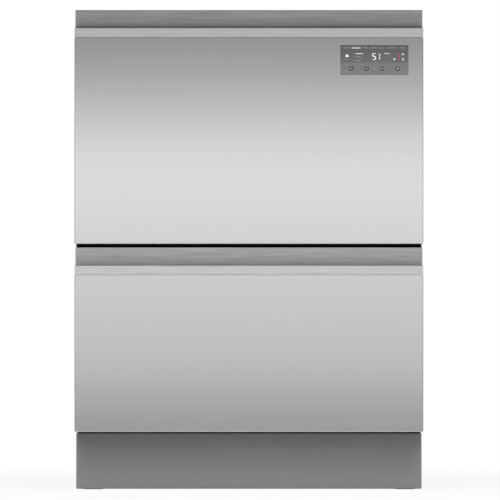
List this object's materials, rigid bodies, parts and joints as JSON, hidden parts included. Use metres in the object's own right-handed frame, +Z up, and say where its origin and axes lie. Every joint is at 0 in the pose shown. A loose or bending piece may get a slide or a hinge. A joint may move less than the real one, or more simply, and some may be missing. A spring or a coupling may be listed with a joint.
{
  "type": "double drawer dishwasher",
  "caption": "Built-under dishwasher with independent upper and lower wash drawers, brushed steel fronts with recessed full-width handles, a control window and a kickplate.",
  "frame": {"origin": "on the floor, in the middle of the machine's width and depth", "axes": "+X to the right seen from the front, the drawer fronts face -Y, +Z up"},
  "size_m": [0.599, 0.573, 0.8245],
  "materials": {
    "front_steel": "satin, brushed from side to side",
    "handle_metal": "brushed, in the shade of the fronts",
    "sheet_steel": "galvanised grey, low gloss",
    "black_steel": "matt black",
    "kick_steel": "satin",
    "rubber_black": "matt",
    "rubber_grey": "matt",
    "rail_steel": "zinc plated",
    "foot_plastic": "moulded",
    "valve_plastic": "moulded",
    "dark_plastic": "moulded",
    "window_plastic": "smoked, smooth",
    "button_plastic": "smooth",
    "liner_plastic": "moulded",
    "tub_plastic": "smooth, light grey",
    "lid_plastic": "moulded",
    "wash_plastic": "moulded",
    "plate_steel": "satin",
    "coated_wire": "nylon coated",
    "basket_plastic": "moulded"
  },
  "bodies": {
    "cabinet": {"base_tray": "sheet_steel", "left_side_panel": "sheet_steel", "right_side_panel": "sheet_steel", "rear_panel": "sheet_steel", "top_panel": "sheet_steel", "cross_brace": "black_steel", "kickplate": "kick_steel", "front_gasket": "rubber_black", "chassis_screws": "rail_steel", "water_inlet_valve": "valve_plastic", "drain_union": "dark_plastic", "mains_gland": "dark_plastic", "cabinet_rails": "rail_steel", "lid_actuators": "dark_plastic"},
    "foot_front_left": {"foot_front_left": "foot_plastic"},
    "foot_front_right": {"foot_front_right": "foot_plastic"},
    "foot_rear_left": {"foot_rear_left": "foot_plastic"},
    "foot_rear_right": {"foot_rear_right": "foot_plastic"},
    "upper_drawer": {"upper_front_skin": "front_steel", "upper_handle": "handle_metal", "upper_front_liner": "liner_plastic", "upper_tub": "tub_plastic", "upper_drawer_rails": "rail_steel", "upper_wash_motor": "dark_plastic", "upper_filter_plate": "plate_steel", "upper_dispenser": "wash_plastic", "control_window": "window_plastic", "control_module": "dark_plastic"},
    "upper_middle_rails": {"upper_middle_rails": "rail_steel"},
    "upper_pump_rotor": {"upper_pump_rotor": "dark_plastic"},
    "upper_drain_filter": {"upper_drain_filter": "wash_plastic"},
    "upper_spray_arm": {"upper_spray_arm": "wash_plastic"},
    "upper_dispenser_cover": {"upper_dispenser_cover": "lid_plastic"},
    "upper_rack": {"upper_rack": "coated_wire"},
    "upper_lid": {"upper_lid": "lid_plastic", "upper_lid_seal": "rubber_grey"},
    "lower_drawer": {"lower_front_skin": "front_steel", "lower_handle": "handle_metal", "lower_front_liner": "liner_plastic", "lower_tub": "tub_plastic", "lower_drawer_rails": "rail_steel", "lower_wash_motor": "dark_plastic", "lower_filter_plate": "plate_steel", "lower_dispenser": "wash_plastic"},
    "lower_middle_rails": {"lower_middle_rails": "rail_steel"},
    "lower_pump_rotor": {"lower_pump_rotor": "dark_plastic"},
    "lower_drain_filter": {"lower_drain_filter": "wash_plastic"},
    "lower_spray_arm": {"lower_spray_arm": "wash_plastic"},
    "lower_dispenser_cover": {"lower_dispenser_cover": "lid_plastic"},
    "lower_rack": {"lower_rack": "coated_wire"},
    "lower_lid": {"lower_lid": "lid_plastic", "lower_lid_seal": "rubber_grey"},
    "upper_folding_tines": {"upper_folding_tines": "coated_wire"},
    "upper_cup_rack_left": {"upper_cup_rack_left": "coated_wire"},
    "upper_cup_rack_right": {"upper_cup_rack_right": "coated_wire"},
    "lower_cutlery_basket": {"lower_cutlery_basket": "basket_plastic"},
    "button_power": {"button_power": "button_plastic"},
    "button_up": {"button_up": "button_plastic"},
    "button_down": {"button_down": "button_plastic"},
    "button_start": {"button_start": "button_plastic"}
  },
  "joints": [
    {"name": "foot_front_left_screw", "type": "slide", "parent": "cabinet", "child": "foot_front_left", "axis": [0, 0, -1], "range_m": [0, 0.06]},
    {"name": "foot_front_right_screw", "type": "slide", "parent": "cabinet", "child": "foot_front_right", "axis": [0, 0, -1], "range_m": [0, 0.06]},
    {"name": "foot_rear_left_screw", "type": "slide", "parent": "cabinet", "child": "foot_rear_left", "axis": [0, 0, -1], "range_m": [0, 0.06]},
    {"name": "foot_rear_right_screw", "type": "slide", "parent": "cabinet", "child": "foot_rear_right", "axis": [0, 0, -1], "range_m": [0, 0.06]},
    {"name": "upper_drawer_slide", "type": "slide", "parent": "cabinet", "child": "upper_drawer", "axis": [0, -1, 0], "range_m": [0, 0.48]},
    {"name": "upper_middle_rails_slide", "type": "slide", "parent": "cabinet", "child": "upper_middle_rails", "axis": [0, -1, 0], "range_m": [0, 0.24]},
    {"name": "upper_lid_travel", "type": "slide", "parent": "cabinet", "child": "upper_lid", "axis": [0, 0, -1], "range_m": [0, 0.008]},
    {"name": "upper_spray_arm_spin", "type": "hinge", "parent": "upper_drawer", "child": "upper_spray_arm", "pos_m": [0, -0.00085, 0.5388], "axis": [0, 0, 1], "continuous": true},
    {"name": "upper_pump_rotor_spin", "type": "hinge", "parent": "upper_drawer", "child": "upper_pump_rotor", "pos_m": [0, -0.00085, 0.5068], "axis": [0, 0, 1], "continuous": true},
    {"name": "upper_drain_filter_lift", "type": "slide", "parent": "upper_drawer", "child": "upper_drain_filter", "axis": [0, 0, 1], "range_m": [0, 0.026]},
    {"name": "upper_cover_slide", "type": "slide", "parent": "upper_drawer", "child": "upper_dispenser_cover", "axis": [1, 0, 0], "range_m": [0, 0.068]},
    {"name": "upper_rack_lift", "type": "slide", "parent": "upper_drawer", "child": "upper_rack", "axis": [0, 0, -1], "range_m": [-0.1, 0]},
    {"name": "lower_drawer_slide", "type": "slide", "parent": "cabinet", "child": "lower_drawer", "axis": [0, -1, 0], "range_m": [0, 0.48]},
    {"name": "lower_middle_rails_slide", "type": "slide", "parent": "cabinet", "child": "lower_middle_rails", "axis": [0, -1, 0], "range_m": [0, 0.24]},
    {"name": "lower_lid_travel", "type": "slide", "parent": "cabinet", "child": "lower_lid", "axis": [0, 0, -1], "range_m": [0, 0.008]},
    {"name": "lower_spray_arm_spin", "type": "hinge", "parent": "lower_drawer", "child": "lower_spray_arm", "pos_m": [0, -0.00085, 0.164], "axis": [0, 0, 1], "continuous": true},
    {"name": "lower_pump_rotor_spin", "type": "hinge", "parent": "lower_drawer", "child": "lower_pump_rotor", "pos_m": [0, -0.00085, 0.132], "axis": [0, 0, 1], "continuous": true},
    {"name": "lower_drain_filter_lift", "type": "slide", "parent": "lower_drawer", "child": "lower_drain_filter", "axis": [0, 0, 1], "range_m": [0, 0.026]},
    {"name": "lower_cover_slide", "type": "slide", "parent": "lower_drawer", "child": "lower_dispenser_cover", "axis": [1, 0, 0], "range_m": [0, 0.068]},
    {"name": "lower_rack_lift", "type": "slide", "parent": "lower_drawer", "child": "lower_rack", "axis": [0, 0, -1], "range_m": [-0.08, 0]},
    {"name": "upper_folding_tines_hinge", "type": "hinge", "parent": "upper_rack", "child": "upper_folding_tines", "pos_m": [-0.038, -0.00585, 0.57425], "axis": [0, -1, 0], "range_deg": [0, 90]},
    {"name": "upper_cup_rack_left_hinge", "type": "hinge", "parent": "upper_rack", "child": "upper_cup_rack_left", "pos_m": [-0.266, -0.00585, 0.65465], "axis": [0, -1, 0], "range_deg": [0, 90]},
    {"name": "upper_cup_rack_right_hinge", "type": "hinge", "parent": "upper_rack", "child": "upper_cup_rack_right", "pos_m": [0.266, -0.00585, 0.65465], "axis": [0, 1, 0], "range_deg": [0, 90]},
    {"name": "lower_cutlery_basket_lift", "type": "slide", "parent": "lower_rack", "child": "lower_cutlery_basket", "axis": [0, 0, 1], "range_m": [0, 0.08]},
    {"name": "button_power_press", "type": "slide", "parent": "upper_drawer", "child": "button_power", "axis": [0, 1, 0], "range_m": [0, 0.0008], "stiffness_N_per_m": 1200},
    {"name": "button_up_press", "type": "slide", "parent": "upper_drawer", "child": "button_up", "axis": [0, 1, 0], "range_m": [0, 0.0008], "stiffness_N_per_m": 1200},
    {"name": "button_down_press", "type": "slide", "parent": "upper_drawer", "child": "button_down", "axis": [0, 1, 0], "range_m": [0, 0.0008], "stiffness_N_per_m": 1200},
    {"name": "button_start_press", "type": "slide", "parent": "upper_drawer", "child": "button_start", "axis": [0, 1, 0], "range_m": [0, 0.0008], "stiffness_N_per_m": 1200}
  ],
  "couplings": [
    {"joint": "upper_middle_rails_slide", "follows": "upper_drawer_slide", "ratio": 0.5},
    {"joint": "lower_middle_rails_slide", "follows": "lower_drawer_slide", "ratio": 0.5}
  ]
}
